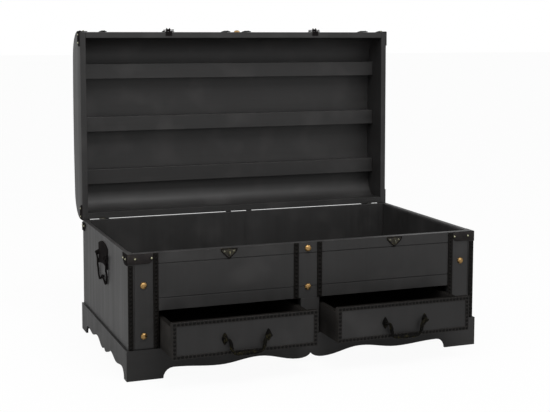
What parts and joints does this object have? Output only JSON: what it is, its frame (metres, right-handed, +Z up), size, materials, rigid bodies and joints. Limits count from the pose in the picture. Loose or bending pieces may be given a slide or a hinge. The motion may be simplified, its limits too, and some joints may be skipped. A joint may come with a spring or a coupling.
{
  "type": "storage chest",
  "caption": "Curved-lid storage chest on a scalloped plinth, with drawers in the base, hasps and catches, bail pulls and drop side handles; lid open and drawers part out.",
  "frame": {"origin": "on the floor, under the middle of the whole object as it stands with the lid open and the drawers part out", "axes": "+X to the right of someone facing the front, along the chest; +Y to the back; +Z up"},
  "size_m": [0.9132, 0.731, 0.7942],
  "materials": {
    "charcoal_wood": "charcoal-black paint over fine vertical grain, satin",
    "inner_wood": "dark stained, matt",
    "dark_trim": "near-black studded moulding, satin",
    "black_iron": "blackened iron with a worn brassy glint"
  },
  "bodies": {
    "chest": {"side_board_left": "charcoal_wood", "side_board_right": "charcoal_wood", "corner_post_left": "charcoal_wood", "corner_post_right": "charcoal_wood", "plinth_left": "charcoal_wood", "plinth_right": "charcoal_wood", "back_board": "charcoal_wood", "front_board": "charcoal_wood", "centre_partition": "charcoal_wood", "chest_floor": "charcoal_wood", "plinth_front": "charcoal_wood", "base_board": "inner_wood", "inner_strap_left": "dark_trim", "inner_strap_right": "dark_trim", "outer_strap_left": "dark_trim", "outer_strap_right": "dark_trim", "centre_strap_left": "dark_trim", "centre_strap_right": "dark_trim", "body_bracket_front_left": "black_iron", "body_bracket_front_right": "black_iron", "body_bracket_back_left": "black_iron", "body_bracket_back_right": "black_iron", "catch_left": "black_iron", "catch_right": "black_iron", "hinge_leaf_body_left": "black_iron", "hinge_leaf_body_right": "black_iron", "handle_plate_left": "black_iron", "handle_plate_right": "black_iron"},
    "lid": {"lid_end_left": "charcoal_wood", "lid_end_right": "charcoal_wood", "lid_front_rail": "charcoal_wood", "lid_back_rail": "charcoal_wood", "lid_top": "charcoal_wood", "lid_batten_front": "charcoal_wood", "lid_batten_middle": "charcoal_wood", "lid_batten_back": "charcoal_wood", "lid_bracket_front_left": "black_iron", "lid_bracket_front_right": "black_iron", "lid_bracket_back_left": "black_iron", "lid_bracket_back_right": "black_iron", "hinge_leaf_lid_left": "black_iron", "hinge_leaf_lid_right": "black_iron", "hasp_plate_left": "black_iron", "hasp_plate_right": "black_iron"},
    "drawer_left": {"drawer_front_left": "charcoal_wood", "drawer_box_left": "inner_wood", "drawer_trim_left": "dark_trim", "pull_plate_left_left": "black_iron", "pull_plate_left_right": "black_iron"},
    "pull_left": {"pull_bail_left": "black_iron"},
    "handle_left": {"handle_bail_left": "black_iron"},
    "hasp_left": {"hasp_left": "black_iron"},
    "drawer_right": {"drawer_front_right": "charcoal_wood", "drawer_box_right": "inner_wood", "drawer_trim_right": "dark_trim", "pull_plate_right_left": "black_iron", "pull_plate_right_right": "black_iron"},
    "pull_right": {"pull_bail_right": "black_iron"},
    "handle_right": {"handle_bail_right": "black_iron"},
    "hasp_right": {"hasp_right": "black_iron"}
  },
  "joints": [
    {"name": "lid_hinge", "type": "hinge", "parent": "chest", "child": "lid", "pos_m": [0, 0.251, 0.2905], "axis": [1, 0, 0], "range_deg": [0, 90.6]},
    {"name": "drawer_slide_left", "type": "slide", "parent": "chest", "child": "drawer_left", "axis": [0, -1, 0], "range_m": [-0.108, 0.19]},
    {"name": "pull_swing_left", "type": "hinge", "parent": "drawer_left", "child": "pull_left", "pos_m": [-0.1987, -0.363, 0.108], "axis": [-1, 0, 0], "range_deg": [0, 85]},
    {"name": "handle_swing_left", "type": "hinge", "parent": "chest", "child": "handle_left", "pos_m": [-0.452, 0.00275, 0.244], "axis": [0, 1, 0], "range_deg": [0, 90]},
    {"name": "hasp_swing_left", "type": "hinge", "parent": "lid", "child": "hasp_left", "pos_m": [-0.20395, 0.26615, 0.79137], "axis": [1, 0, 0], "range_deg": [0, 180]},
    {"name": "drawer_slide_right", "type": "slide", "parent": "chest", "child": "drawer_right", "axis": [0, -1, 0], "range_m": [-0.108, 0.19]},
    {"name": "pull_swing_right", "type": "hinge", "parent": "drawer_right", "child": "pull_right", "pos_m": [0.1987, -0.363, 0.108], "axis": [-1, 0, 0], "range_deg": [0, 85]},
    {"name": "handle_swing_right", "type": "hinge", "parent": "chest", "child": "handle_right", "pos_m": [0.452, 0.00275, 0.244], "axis": [0, -1, 0], "range_deg": [0, 90]},
    {"name": "hasp_swing_right", "type": "hinge", "parent": "lid", "child": "hasp_right", "pos_m": [0.22255, 0.26615, 0.79137], "axis": [1, 0, 0], "range_deg": [0, 180]}
  ]
}
